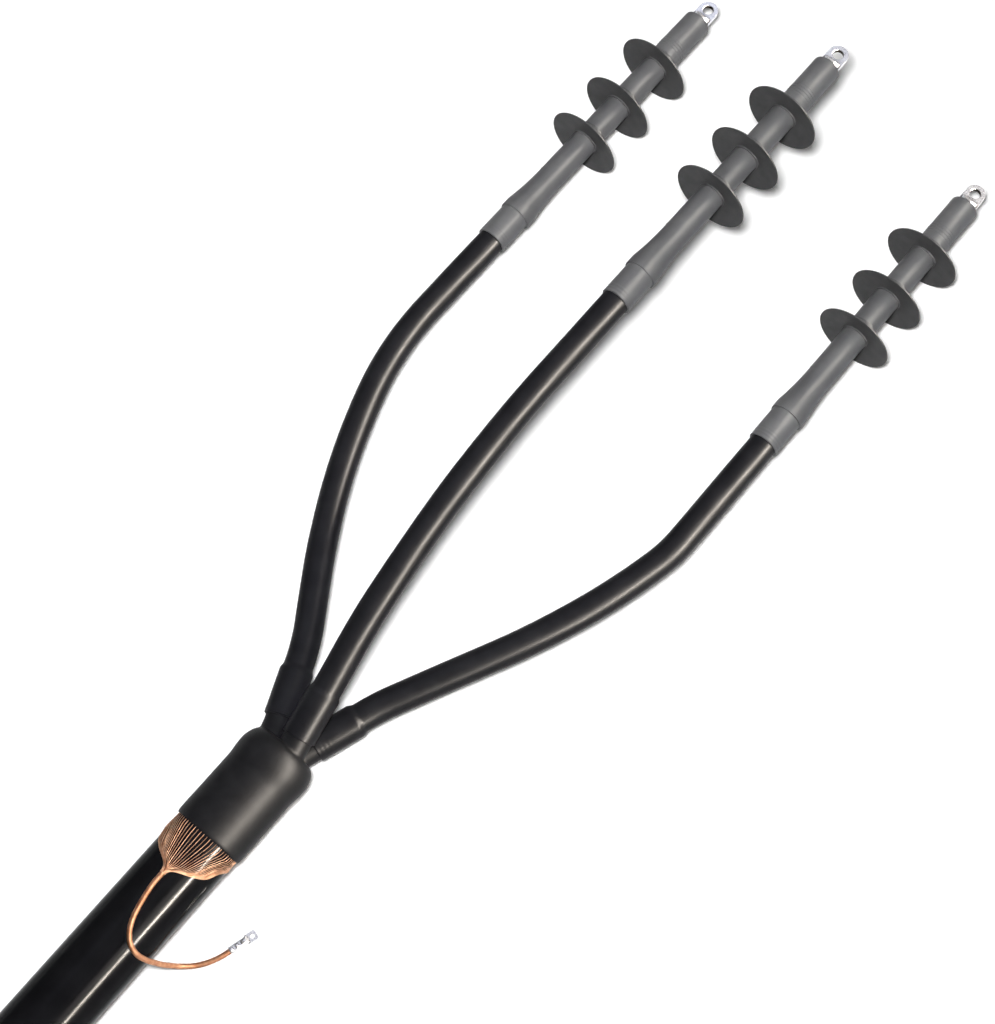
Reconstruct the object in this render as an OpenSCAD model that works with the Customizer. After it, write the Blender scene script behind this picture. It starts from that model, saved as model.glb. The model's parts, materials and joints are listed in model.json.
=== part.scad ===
// Three-core outdoor cable termination for a screened 12/20 kV cable, lying on its side.
// Millimetres. +Y runs along the cable towards the lugs, +X to the right, +Z up.
// The origin is on the cable's axis, at the lower rim of the breakout boot.

/* [Cable] */
// Outside diameter of the cable's sheath
cable_d = 80; // [72:0.5:88]
// Wall of the sheath
sheath_wall = 5; // [3:0.1:6]
// Length of cable below the boot's rim
cable_stub = 290; // [250:1:400]
// Length of sheath left inside the boot
sheath_in_boot = 58; // [40:1:64]
// Length of bedding that stands out of the sheath
bedding_reach = 4; // [2:0.5:6]
// Diameter of one conductor
conductor_d = 14.5; // [12:0.1:16]
// Wall of the core's insulation
insulation_wall = 5.4; // [5:0.05:6]
// Wall of the black screen on the core
screen_wall = 1.3; // [0.8:0.05:1.8]
// Gap between two cores inside the cable
core_gap = 3; // [2.8:0.1:3.4]
// Turn of the three cores about the cable's axis
core_turn = -34; // [-36:0.5:-32]
// Gap between two layers of one core
layer_gap = 0.25; // [0.23:0.01:0.3]

/* [Screen wires] */
// Diameter of one screen wire
wire_d = 0.6; // [0.5:0.05:0.65]
// Gap between a wire and what it lies on
wire_gap = 0.08; // [0.05:0.01:0.12]
// Distance between two wires in the gathered bundle
wire_pitch = 0.8; // [0.78:0.01:0.9]
// Rows of wires from the bundle's middle to its corner
bundle_rows = 4; // [2:1:4]
// Distance from the boot's rim to where the wires are gathered
gather_y = 57; // [50:1:60]
// Length over which the gathered wires draw together
bundle_tail = 8; // [7:0.5:12]
// How many times wider the bundle is where the fan ends
bundle_loose = 2.1; // [1.9:0.1:2.4]

/* [Breakout boot] */
// Wall of the boot's barrel
boot_wall = 2.4; // [1.8:0.1:3.5]
// Gap between the screen wires and the boot
boot_gap = 0.2; // [0.1:0.05:0.4]
// How far the shoulder stands out from the barrel
shoulder_rise = 1.7; // [0.5:0.1:3]
// Length of the barrel up to the shoulder
barrel_len = 84; // [80:1:92]
// Length of the shoulder
shoulder_len = 26; // [22:1:28]
// Length of the rounded cap that closes the shoulder
cap_len = 16; // [14:0.5:18]
// Radius that the cap takes off the shoulder
cap_round = 12; // [9:0.5:13]
// Wall of the cap
cap_wall = 10; // [8:0.5:12]
// Wall of one finger
finger_wall = 1.9; // [1.6:0.1:2]
// Gap between a core and its finger
finger_gap = 0.5; // [0.2:0.05:0.8]

/* [Legs] */
// Where the cores start to bend apart
bend_start = 104; // [102:0.5:105]
// Bend radius of a core inside the boot
finger_bend_r = 100; // [96:1:105]
// Bend radius where a leg leaves its finger
splay_bend_r = 260; // [220:5:300]
// Bend radius of the slow bend in the middle of a leg
slow_bend_r = 850; // [800:10:900]
// Distance of the left phase from the cable's axis
left_spread = 228; // [215:1:260]
// Distance of the middle phase to the left of the cable's axis
middle_spread = 42.5; // [38:0.5:60]
// Distance of the right phase from the cable's axis
right_spread = 182; // [170:1:220]
// Height of the middle phase above the cable's axis
middle_rise = 81; // [78:0.5:110]
// Angle of the left finger
left_finger_angle = 23.5; // [23:0.5:25]
// Angle of the middle finger
middle_finger_angle = 15; // [14.5:0.25:15.5]
// Angle of the right finger
right_finger_angle = 18.5; // [17:0.5:20]
// Widest angle of the left leg
left_splay_angle = 33.5; // [32:0.5:35]
// Widest angle of the middle leg
middle_splay_angle = 16; // [15.75:0.25:17]
// Widest angle of the right leg
right_splay_angle = 26.5; // [25:0.5:29]
// Angle of the left leg after its slow bend
left_ease_angle = 18.5; // [17:0.5:21]
// Angle of the middle leg after its slow bend
middle_ease_angle = 11.75; // [11:0.25:13]
// Angle of the right leg after its slow bend
right_ease_angle = 13; // [11:0.5:16]
// Radius of the last bend of the left leg
left_return_r = 415; // [380:5:450]
// Radius of the last bend of the middle leg
middle_return_r = 1590; // [1450:10:1650]
// Radius of the last bend of the right leg
right_return_r = 175; // [150:5:250]

/* [Core tubes] */
// Where the left core tube starts, along the cable
left_tube_start = 147; // [146:0.5:152]
// Where the middle core tube starts, along the cable
middle_tube_start = 141; // [140:0.5:150]
// Where the right core tube starts, along the cable
right_tube_start = 148; // [146:0.5:152]
// Wall of a core tube
tube_wall = 2.1; // [1.6:0.1:2.6]
// Gap between a core tube and what it is shrunk on
tube_gap = 0.3; // [0.25:0.05:0.4]
// Length of the wide end over the finger
bulge_len = 48; // [40:1:56]
// Length of the neck above the wide end
neck_len = 14; // [10:0.5:18]
// Length of plain tube between the neck and the first bend
neck_tail = 3; // [2:0.5:6]
// How far a finger stops short of the neck
finger_short = 2; // [1:0.5:4]

/* [Terminations] */
// Where the base sleeves start, along the cable
base_start = 741; // [735:1:760]
// Wall of a base sleeve
base_wall = 2.7; // [2.2:0.1:3.5]
// Length of a base sleeve that shows below the body tube
base_shows = 44; // [36:1:50]
// How far a base sleeve narrows under the body tube
base_step = 1.1; // [0.6:0.1:1.6]
// Length of a core tube inside its base sleeve
tube_in_base = 50; // [30:1:52]
// Length of the wide lip at the body tube's lower end
lip_len = 12; // [8:0.5:16]
// Length of the flare above the lip
flare_len = 58; // [50:1:70]
// Wall of a body tube
body_wall = 1.9; // [1.5:0.1:2.6]
// Wall of a stress tube
stress_wall = 1.3; // [1:0.05:1.6]
// Length of the core's screen above the lip
screen_over_lip = 18; // [14:1:22]
// Gap between two shrunk layers
shrink_gap = 0.1; // [0.05:0.01:0.15]
// Distance from the flare's top to the lowest shed
shed_start = 62; // [50:0.5:75]
// Distance from the lowest shed to the middle one
shed_pitch_low = 65.5; // [55:0.5:80]
// Distance from the middle shed to the top one
shed_pitch_high = 72.5; // [60:0.5:85]
// Diameter of a shed
shed_d = 95; // [88:0.5:95]
// Thickness of a shed at its rim
shed_rim = 2; // [1.5:0.1:3]
// Thickness of a shed at its hub
shed_root = 4; // [3:0.1:6]
// How far the rim lies below the hub
shed_drop = 4; // [2:0.5:8]
// Length of a shed's collar above the disc
collar_len = 16; // [10:0.5:20]
// Wall of a shed's collar
collar_wall = 1.2; // [0.8:0.1:2]
// Length of the lip below the disc
shed_lip = 2; // [1:0.5:3]
// Distance from the top shed to the top sleeve
sleeve_start = 21; // [20.5:0.5:30]
// Length of a top sleeve
sleeve_len = 72; // [66:0.5:80]
// Wall of a top sleeve
sleeve_wall = 1.3; // [1:0.1:2]
// Length of the body tube inside the top sleeve
body_in_sleeve = 32; // [24:0.5:36]
// Radius of the top sleeve's rounded end
sleeve_round = 2.6; // [1:0.1:3]

/* [Lugs] */
// Outside diameter of a lug's barrel
barrel_d = 22; // [20:0.5:24]
// Gap between the conductor and the barrel
barrel_gap = 0.15; // [0.1:0.05:0.3]
// Length of bare conductor between the insulation and the barrel
bare_len = 6; // [4:0.5:10]
// Distance from the body tube's top down to the insulation's end
insulation_short = 18; // [14:0.5:22]
// Depth of the barrel's bore
bore_depth = 42; // [30:0.5:44]
// Length of the barrel that shows above the top sleeve
barrel_shows = 3; // [1:0.5:6]
// Length of the slope from the barrel to the palm
palm_slope = 7; // [5:0.5:9]
// Width of a palm
palm_w = 25; // [23:0.5:28]
// Thickness of a palm
palm_t = 5.5; // [4:0.5:7]
// Distance from the top sleeve to the middle of the palm's hole
palm_hole_y = 20; // [18:0.5:26]
// Diameter of the palm's hole
palm_hole_d = 13; // [10.5:0.1:13.5]
// Chamfer at the hole's edges
hole_chamfer = 0.6; // [0.3:0.1:0.8]

/* [Earth lead] */
// Diameter of the earth lead
lead_d = 6; // [5:0.1:6]
// Outside diameter of the earth lug's barrel
earth_barrel_d = 9; // [8:0.1:9.2]
// Length of the earth lug's barrel
earth_barrel_len = 20; // [18:0.5:24]
// Length of the lead inside the barrel
earth_bore = 15; // [10:0.5:16]
// Gap between the lead and the barrel
earth_gap = 0.2; // [0.1:0.05:0.3]
// Width of the earth lug's palm
earth_palm_w = 10.5; // [9.5:0.5:12]
// Radius of the palm's corners
earth_corner_r = 2; // [1:0.5:3]
// Distance from the palm's hole to its end
earth_palm_tip = 5; // [4.5:0.5:7]
// Thickness of the earth lug's palm
earth_palm_t = 2.4; // [1.8:0.1:3]
// Distance from the barrel to the palm's hole
earth_hole_y = 8; // [7:0.5:10]
// Diameter of the earth lug's hole
earth_hole_d = 5.3; // [4.3:0.1:5.5]
// Depth of the two crimp marks
crimp_depth = 0.8; // [0.3:0.1:1]
// Length of one crimp mark
crimp_len = 4; // [3:0.5:5]
// Height of the earth lug's lowest point above the floor
earth_lift = 0.5; // [0.3:0.1:0.8]

/* [Hidden] */
PHASES = ["left", "middle", "right"];
SHEDS = ["lower", "middle", "upper"];
$fn = 96;
arc_fn = 480;
cut = 1;
// Stretches of a leg stop short of their joint, and a thin band covers it
seam = 0.1;
band = 0.1;
band_len = 1;

// Radii of the cable's layers, from the conductor out
conductor_r = conductor_d / 2;
insulation_r = conductor_r + layer_gap + insulation_wall;
screen_r = insulation_r + layer_gap + screen_wall;
core_bore_r = screen_r + layer_gap;
sheath_r = cable_d / 2;
sheath_in_r = sheath_r - sheath_wall;
wire_r = wire_d / 2;
wire_in_r = sheath_in_r - wire_gap - wire_r;
bedding_r = wire_in_r - wire_r - wire_gap;
wire_out_r = sheath_r + wire_gap + wire_r;
trefoil_r = (2 * screen_r + core_gap) / sqrt(3);
cable_end = -cable_stub;
bedding_end = sheath_in_boot + bedding_reach;

// Boot
boot_in_r = wire_out_r + wire_r + boot_gap;
boot_r = boot_in_r + boot_wall;
shoulder_r = boot_r + shoulder_rise;
shoulder_end = barrel_len + shoulder_len;
cap_end = shoulder_end + cap_len;
cap_in = cap_end - cap_wall;
finger_from = cap_in + cap_wall / 2;
rim_taper = 0.8;
rim_taper_len = 3;
filler_gap = 0.3;
finger_in_r = screen_r + finger_gap;
finger_r = finger_in_r + finger_wall;
floor_z = -shoulder_r;

// Core tubes and the layers of a termination
tube_in_r = screen_r + tube_gap;
tube_r = tube_in_r + tube_wall;
bulge_in_r = finger_r + tube_gap;
bulge_r = bulge_in_r + tube_wall;
base_in_r = tube_r + shrink_gap;
base_r = base_in_r + base_wall;
base_top_r = base_r - base_step;
base_end = base_start + base_shows + lip_len;
base_taper_len = 3;
tube_end = base_start + tube_in_base;
stress_in_r = insulation_r + layer_gap;
stress_r = stress_in_r + stress_wall;
body_in_r = stress_r + shrink_gap;
body_r = body_in_r + body_wall;
lip_r = base_top_r + shrink_gap + body_wall;
body_start = base_start + base_shows;
lip_end = body_start + lip_len;
flare_end = lip_end + flare_len;
flare_steps = 6;
screen_end = lip_end + screen_over_lip;
stress_step = 1;
stress_slope = 6;
stress_inset = 2;
stress_short = 4;
stress_start = lip_end + stress_inset;
shed_y = [
    flare_end + shed_start,
    flare_end + shed_start + shed_pitch_low,
    flare_end + shed_start + shed_pitch_low + shed_pitch_high
];
shed_in_r = body_r + shrink_gap;
collar_r = shed_in_r + collar_wall;
sleeve_low = shed_y[2] + sleeve_start;
sleeve_high = sleeve_low + sleeve_len;
sleeve_in_r = body_r + shrink_gap;
sleeve_r = sleeve_in_r + sleeve_wall;
sleeve_taper = 0.7;
sleeve_taper_len = 4;
body_end = sleeve_low + body_in_sleeve;
insulation_end = body_end - insulation_short;
stress_end = insulation_end - stress_short;

// Lugs
barrel_r = barrel_d / 2;
barrel_in_r = conductor_r + barrel_gap;
lug_low = insulation_end + bare_len;
barrel_high = sleeve_high + barrel_shows;
bore_spare = 2;
conductor_end = lug_low + bore_depth - bore_spare;
palm_hole_at = sleeve_high + palm_hole_y;

// Lateral directions and places of the three phases
phase_x = [-left_spread, -middle_spread, right_spread];
phase_z = [floor_z + shed_d / 2, middle_rise, floor_z + shed_d / 2];
core_angle = [210 + core_turn, 90 + core_turn, 330 + core_turn];
core_x = [for (a = core_angle) trefoil_r * cos(a)];
core_z = [for (a = core_angle) trefoil_r * sin(a)];
offset_d = [for (k = [0:2]) norm([phase_x[k] - core_x[k], phase_z[k] - core_z[k]])];
offset_angle = [for (k = [0:2]) atan2(phase_z[k] - core_z[k], phase_x[k] - core_x[k])];
finger_angle = [left_finger_angle, middle_finger_angle, right_finger_angle];
splay_angle = [left_splay_angle, middle_splay_angle, right_splay_angle];
ease_angle = [left_ease_angle, middle_ease_angle, right_ease_angle];
return_r = [left_return_r, middle_return_r, right_return_r];
tube_start = [left_tube_start, middle_tube_start, right_tube_start];

// A leg's route lies in one plane, as [sideways, along] from the core's place in the cable.
// It bends out, runs straight through the finger, bends out again, runs straight and bends back twice.
function ahead(h) = [sin(h), cos(h)];
function bend_out(r, h0, h1) = r * [cos(h0) - cos(h1), sin(h1) - sin(h0)];
function bend_back(r, h0, h1) = r * [cos(h1) - cos(h0), sin(h0) - sin(h1)];
function finger_root(k) = bend_start * [0, 1] + bend_out(finger_bend_r, 0, finger_angle[k]);
function tube_at(k) = (tube_start[k] - finger_root(k).y) / cos(finger_angle[k]);
function finger_len(k) = tube_at(k) + bulge_len - finger_short;
function finger_run(k) = tube_at(k) + bulge_len + neck_len + neck_tail;
function splay_from(k) = finger_root(k) + finger_run(k) * ahead(finger_angle[k]);
function splay_to(k) = splay_from(k) + bend_out(splay_bend_r, finger_angle[k], splay_angle[k]);
function slow_step(k) = bend_back(slow_bend_r, splay_angle[k], ease_angle[k]);
function return_step(k) = bend_back(return_r[k], ease_angle[k], 0);
function left_over(k) = offset_d[k] - splay_to(k).x - slow_step(k).x - return_step(k).x;
function straight_run(k) = left_over(k) / sin(splay_angle[k]);
function slow_from(k) = splay_to(k) + straight_run(k) * ahead(splay_angle[k]);
function return_from(k) = slow_from(k) + slow_step(k);
function leg_end(k) = return_from(k) + return_step(k);

// Earth lead: points of its middle line, from the gathered wires to the lug
lead_points = [
    [-1, -57, 43.5], [-1, -70, 43.5], [1, -84, 43.5], [4, -98, 43.5], [8, -111, 43],
    [14, -122, 41.5], [22, -130, 38], [32, -134, 30], [41, -133, 17], [47, -130, 3],
    [52, -127, -11], [58, -122, -24], [65, -116, -34], [74, -107, -39], [82, -96, -40],
    [88, -84, -40], [92, -72, -40], [96, -58, -40]
];
lead_sides = 10;
lead_r = lead_d / 2;
gather = [lead_points[0].x, -gather_y, wire_out_r];
earth_turn = 16;
earth_at = [92, -72];
earth_z = floor_z + earth_lift + earth_barrel_d / 2;
earth_in_r = lead_r + earth_gap;
earth_hole_at = earth_barrel_len + earth_hole_y;
earth_slope = 3;
crimp_places = [0.3, 0.65];

// Wires: slots of the hexagonal bundle, sorted from left to right, one for each wire around the cable
bundle_slots = [
    for (col = [-bundle_rows:bundle_rows])
        for (row = [0:2 * bundle_rows - abs(col)])
            [col * sqrt(3) / 2, row - (2 * bundle_rows - abs(col)) / 2] * wire_pitch
];
wire_count = len(bundle_slots);
wire_sides = 5;
fold_r = (wire_out_r - wire_in_r) / 2;
fold_steps = 4;
fan_steps = 7;
fan_straight = 0.9;
fan_wrap = 0.55;

function unit(v) = v / norm(v);
function around(r, angle, y) = [r * sin(angle), y, r * cos(angle)];
function wire_angle(i) = (i + 0.5) * 360 / wire_count - 180;
function fan_share(i, t) = 1 - pow(1 - t, fan_straight + fan_wrap * abs(wire_angle(i)) / 180);
function slot_place(i, loose) =
    [gather.x, gather.z + loose * bundle_rows * wire_pitch] + loose * bundle_slots[i];
function tight_point(i) = let (p = slot_place(i, 1)) [p.x, gather.y, p.y];
function fan_point(i, t) =
    let (s = fan_share(i, t), p = slot_place(i, bundle_loose))
    around(
        wire_out_r + s * (norm(p) - wire_out_r),
        wire_angle(i) + s * (atan2(p.x, p.y) - wire_angle(i)),
        (gather.y + bundle_tail) * t
    );
function fold_point(i, t) = around(
    wire_in_r + fold_r * (1 - cos(180 * t)),
    wire_angle(i),
    sheath_in_boot + wire_gap + wire_r + fold_r * sin(180 * t)
);
function wire_path(i) = concat(
    [around(wire_in_r, wire_angle(i), cable_end)],
    [for (n = [0:fold_steps]) fold_point(i, n / fold_steps)],
    [for (n = [0:fan_steps]) fan_point(i, n / fan_steps)],
    [tight_point(i)]
);

// Tube swept along points: each ring is square to the route, with its side vector kept near a given one
function tangent(p, i) = unit(p[min(i + 1, len(p) - 1)] - p[max(i - 1, 0)]);
function side_of(v, t) = unit(v - (v * t) * t);
function ring(c, side, up, r, n) = [
    for (j = [0:n - 1]) c + r * (cos(360 * j / n) * side + sin(360 * j / n) * up)
];
function tube_rings(p, side, r, n) = [
    for (i = [0:len(p) - 1])
        let (t = tangent(p, i), s = side_of(side[i], t))
        each ring(p[i], s, cross(t, s), r, n)
];
function tube_faces(rings, n) = concat(
    [[for (j = [0:n - 1]) j]],
    [
        for (i = [0:rings - 2], j = [0:n - 1])
            let (a = i * n + j, b = i * n + (j + 1) % n)
            each [[a, b + n, b], [a, a + n, b + n]]
    ],
    [[for (j = [n - 1:-1:0]) (rings - 1) * n + j]]
);

module swept_tube(path, side, r, n) {
    polyhedron(
        points = tube_rings(path, side, r, n),
        faces = tube_faces(len(path), n),
        convexity = 8
    );
}

// Revolve about the Y axis: the profile is drawn as [radius, place along Y]
module turned() {
    rotate([-90, 0, 0]) rotate_extrude() children();
}

module rod(r, from, to) {
    translate([0, from, 0]) rotate([-90, 0, 0]) cylinder(r = r, h = to - from);
}

module pipe(r_in, r_out, from, to) {
    difference() {
        rod(r_out, from, to);
        rod(r_in, from - cut, to + cut);
    }
}

// Places its children on a core in the cable, with local X along the leg's sideways direction
module on_core(k) {
    translate([core_x[k], 0, core_z[k]]) rotate([0, -offset_angle[k], 0]) children();
}

module on_phase(k) {
    translate([phase_x[k], 0, phase_z[k]]) children();
}

// Section of one layer of a leg: a disc, or a ring where it has an inner radius
module section(r_in, r_out) {
    difference() {
        circle(r_out);
        if (r_in > 0)
            circle(r_in);
    }
}

// Straight and bent stretches of a leg
module run(at, h, length, r_in, r_out) {
    translate([at.x, at.y, 0])
        rotate([0, 0, -h])
            rotate([-90, 0, 0])
                translate([0, 0, seam]) linear_extrude(length - 2 * seam) section(r_in, r_out);
}

module bend(at, r, from, sweep, r_in, r_out) {
    short = seam / r * 180 / PI;
    translate([at.x, at.y, 0])
        rotate([0, 0, from + short])
            rotate_extrude(angle = sweep - 2 * short, $fn = arc_fn) translate([r, 0]) section(r_in, r_out);
}

module curve_out(at, r, h0, h1, r_in, r_out) {
    bend(at + r * [cos(h0), -sin(h0)], r, 180 - h1, h1 - h0, r_in, r_out);
}

module curve_back(at, r, h0, h1, r_in, r_out) {
    bend(at - r * [cos(h0), -sin(h0)], r, -h0, h0 - h1, r_in, r_out);
}

module joint_band(at, h, r_in, r_out) {
    back = at - band_len * ahead(h);
    run(back - seam * ahead(h), h, 2 * (band_len + seam), max(r_in - band, 0), r_out + band);
}

// From the finger's end to a place on the straight top of the leg
module leg_above_finger(k, to, r_in, r_out) {
    h = [finger_angle[k], splay_angle[k], ease_angle[k]];
    curve_out(splay_from(k), splay_bend_r, h[0], h[1], r_in, r_out);
    run(splay_to(k), h[1], straight_run(k), r_in, r_out);
    curve_back(slow_from(k), slow_bend_r, h[1], h[2], r_in, r_out);
    curve_back(return_from(k), return_r[k], h[2], 0, r_in, r_out);
    run(leg_end(k), 0, to - leg_end(k).y, r_in, r_out);
    joint_band(splay_from(k), h[0], r_in, r_out);
    joint_band(splay_to(k), h[1], r_in, r_out);
    joint_band(slow_from(k), h[1], r_in, r_out);
    joint_band(return_from(k), h[2], r_in, r_out);
    joint_band(leg_end(k), 0, r_in, r_out);
}

// A layer of a core, from the cable's cut end to a place on the straight top of the leg
module core_layer(k, to, r_in, r_out) {
    on_core(k) {
        run([0, cable_end], 0, bend_start - cable_end, r_in, r_out);
        curve_out([0, bend_start], finger_bend_r, 0, finger_angle[k], r_in, r_out);
        run(finger_root(k), finger_angle[k], finger_run(k), r_in, r_out);
        joint_band([0, bend_start], 0, r_in, r_out);
        joint_band(finger_root(k), finger_angle[k], r_in, r_out);
        leg_above_finger(k, to, r_in, r_out);
    }
}

// Places its children on a finger's axis, with Y along it from the finger's root
module on_finger(k) {
    on_core(k)
        translate([finger_root(k).x, finger_root(k).y, 0]) rotate([0, 0, -finger_angle[k]]) children();
}

module cable_sheath() {
    color("#1c1c1e") pipe(sheath_in_r, sheath_r, cable_end, sheath_in_boot);
}

module cable_bedding() {
    color("#2f2f31") difference() {
        rod(bedding_r, cable_end, bedding_end);
        for (k = [0:2])
            on_core(k) rod(core_bore_r, cable_end - cut, bedding_end + cut);
    }
}

module screen_wires() {
    color("#c07a50") for (i = [0:wire_count - 1]) {
        path = wire_path(i);
        side = [for (p = path) unit([p.z, 0, -p.x])];
        swept_tube(path, side, wire_r, wire_sides);
    }
}

// The boot's barrel, shoulder and cap, as an outline from the rim up
module boot_outline() {
    polygon([
        [0, 0],
        [boot_r - rim_taper, 0],
        [boot_r, rim_taper_len],
        [boot_r, barrel_len],
        [shoulder_r, barrel_len + shoulder_len / 2],
        [shoulder_r, shoulder_end],
        for (a = [0:15:75])
            [shoulder_r - cap_round * (1 - cos(a)), shoulder_end + cap_len * sin(a)],
        [shoulder_r - cap_round, cap_end],
        [0, cap_end]
    ]);
}

// A finger's bend and straight, solid, from where its core starts to bend
module finger(k, length, r) {
    on_core(k) {
        curve_out([0, bend_start], finger_bend_r, 0, finger_angle[k], 0, r);
        run(finger_root(k), finger_angle[k], length, 0, r);
        joint_band(finger_root(k), finger_angle[k], 0, r);
    }
}

module breakout_boot() {
    color("#242426") difference() {
        union() {
            turned() boot_outline();
            intersection() {
                for (k = [0:2])
                    finger(k, finger_len(k), finger_r);
                translate([-cable_d, finger_from, -cable_d]) cube(2 * cable_d);
            }
        }
        rod(boot_in_r, -cut, cap_in);
        for (k = [0:2])
            finger(k, finger_run(k), finger_in_r);
    }
}

// Soft filler packed round the cores above the bedding
module crotch_filler() {
    color("#3a2a26") difference() {
        rod(bedding_r, bedding_end + filler_gap, bend_start - filler_gap);
        for (k = [0:2])
            on_core(k) rod(core_bore_r, bedding_end, bend_start);
    }
}

module conductor(k) {
    color("#b87348") core_layer(k, conductor_end, 0, conductor_r);
}

module insulation(k) {
    color("#e9e4d6") core_layer(k, insulation_end, conductor_r + layer_gap, insulation_r);
}

module core_screen(k) {
    color("#1b1b1b") core_layer(k, screen_end, insulation_r + layer_gap, screen_r);
}

// Black tube over the core, with a wide end shrunk over the boot's finger
module core_tube(k) {
    neck_at = tube_at(k) + bulge_len;
    color("#1f1f21") {
        on_finger(k) turned() polygon([
            [bulge_in_r, tube_at(k)],
            [bulge_r, tube_at(k)],
            [bulge_r, neck_at],
            [tube_r, neck_at + neck_len],
            [tube_r, finger_run(k) - seam],
            [tube_in_r, finger_run(k) - seam],
            [tube_in_r, neck_at + neck_len],
            [bulge_in_r, neck_at]
        ]);
        on_core(k) leg_above_finger(k, tube_end, tube_in_r, tube_r);
    }
}

module base_sleeve(k) {
    color("#7a7a7c") on_phase(k) turned() polygon([
        [base_in_r, base_start],
        [base_r, base_start],
        [base_r, body_start - base_taper_len],
        [base_top_r, body_start],
        [base_top_r, base_end],
        [base_in_r, base_end]
    ]);
}

// Inner tube that evens out the field where the core's screen ends
module stress_tube(k) {
    step_r = screen_r + layer_gap;
    color("#141414") on_phase(k) turned() polygon([
        [step_r, stress_start],
        [step_r + stress_wall, stress_start],
        [step_r + stress_wall, screen_end + stress_step],
        [stress_r, screen_end + stress_step + stress_slope],
        [stress_r, stress_end],
        [stress_in_r, stress_end],
        [stress_in_r, screen_end + stress_step + stress_slope],
        [step_r, screen_end + stress_step]
    ]);
}

function flare_r(t) = body_r + (lip_r - body_r) * pow(1 - t, 2);

module body_tube(k) {
    color("#6e6e70") on_phase(k) turned() polygon([
        [lip_r - body_wall, body_start],
        [lip_r, body_start],
        for (n = [0:flare_steps])
            [flare_r(n / flare_steps), lip_end + flare_len * n / flare_steps],
        [body_r, body_end],
        [body_in_r, body_end],
        for (n = [flare_steps:-1:0])
            [flare_r(n / flare_steps) - body_wall, lip_end + flare_len * n / flare_steps]
    ]);
}

// Thin umbrella with a collar towards the lug and a short lip towards the cable
module shed(k, n) {
    rim_y = shed_y[n];
    root_y = rim_y + shed_drop;
    color("#3b3b3c") on_phase(k) turned() polygon([
        [shed_in_r, root_y - shed_lip],
        [collar_r, root_y - shed_lip],
        [collar_r, root_y],
        [shed_d / 2, rim_y],
        [shed_d / 2, rim_y + shed_rim],
        [collar_r + shed_root / 2, root_y + shed_root],
        [collar_r, root_y + 1.5 * shed_root],
        [collar_r, root_y + collar_len],
        [shed_in_r, root_y + collar_len]
    ]);
}

module top_sleeve(k) {
    color("#747476") on_phase(k) turned() polygon([
        [sleeve_in_r, sleeve_low],
        [sleeve_r - sleeve_taper, sleeve_low],
        [sleeve_r, sleeve_low + sleeve_taper_len],
        for (a = [0:18:90])
            [
                sleeve_r - sleeve_round * (1 - cos(a)),
                sleeve_high - sleeve_round * (1 - sin(a))
            ],
        [barrel_r + shrink_gap, sleeve_high],
        [barrel_r + shrink_gap, sleeve_high - sleeve_round],
        [sleeve_in_r, sleeve_high - sleeve_round]
    ]);
}

module lug_sealant(k) {
    color("#8a3b2a") on_phase(k) turned() polygon([
        [barrel_r + shrink_gap, lug_low],
        [body_in_r - shrink_gap, lug_low],
        [body_in_r - shrink_gap, body_end + shrink_gap],
        [sleeve_in_r - shrink_gap, body_end + shrink_gap],
        [sleeve_in_r - shrink_gap, sleeve_high - sleeve_round - shrink_gap],
        [barrel_r + shrink_gap, sleeve_high - sleeve_round - shrink_gap]
    ]);
}

// Outline of a palm with a round end, from a place along Y to the middle of its hole
module palm_outline(w, from, hole) {
    translate([-w / 2, from]) square([w, hole - from]);
    translate([0, hole]) circle(w / 2);
}

// Slope that takes a round barrel down to a flat palm
module barrel_slope(r, t, from, length) {
    intersection() {
        rod(r, from, from + length);
        rotate([0, -90, 0]) linear_extrude(2 * r + cut, center = true) polygon([
            [-r, from],
            [r, from],
            [t / 2, from + length],
            [-t / 2, from + length]
        ]);
    }
}

module chamfered_hole(d, t, chamfer) {
    translate([0, 0, -t / 2 - cut]) cylinder(d = d, h = t + 2 * cut);
    for (side = [0, 1])
        mirror([0, 0, side])
            translate([0, 0, t / 2 - chamfer])
                cylinder(d1 = d, d2 = d + 2 * (chamfer + cut), h = chamfer + cut);
}

module lug(k) {
    color("#c3c6d0") on_phase(k) difference() {
        union() {
            rod(barrel_r, lug_low, barrel_high);
            barrel_slope(barrel_r, palm_t, barrel_high, palm_slope);
            translate([0, 0, -palm_t / 2])
                linear_extrude(palm_t) palm_outline(palm_w, barrel_high, palm_hole_at);
        }
        rod(barrel_in_r, lug_low - cut, lug_low + bore_depth);
        translate([0, palm_hole_at, 0]) chamfered_hole(palm_hole_d, palm_t, hole_chamfer);
    }
}

module earth_lead() {
    side = [for (p = lead_points) [0, 0, 1]];
    color("#b8704a") swept_tube(lead_points, side, lead_r, lead_sides);
}

// Square palm with two rounded corners
module earth_palm_outline() {
    side = earth_palm_w / 2 - earth_corner_r;
    tip = earth_hole_at + earth_palm_tip;
    translate([-earth_palm_w / 2, earth_barrel_len]) square([earth_palm_w, tip - earth_corner_r - earth_barrel_len]);
    translate([-side, earth_barrel_len]) square([2 * side, tip - earth_barrel_len]);
    for (x = [-side, side])
        translate([x, tip - earth_corner_r]) circle(earth_corner_r);
}

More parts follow.
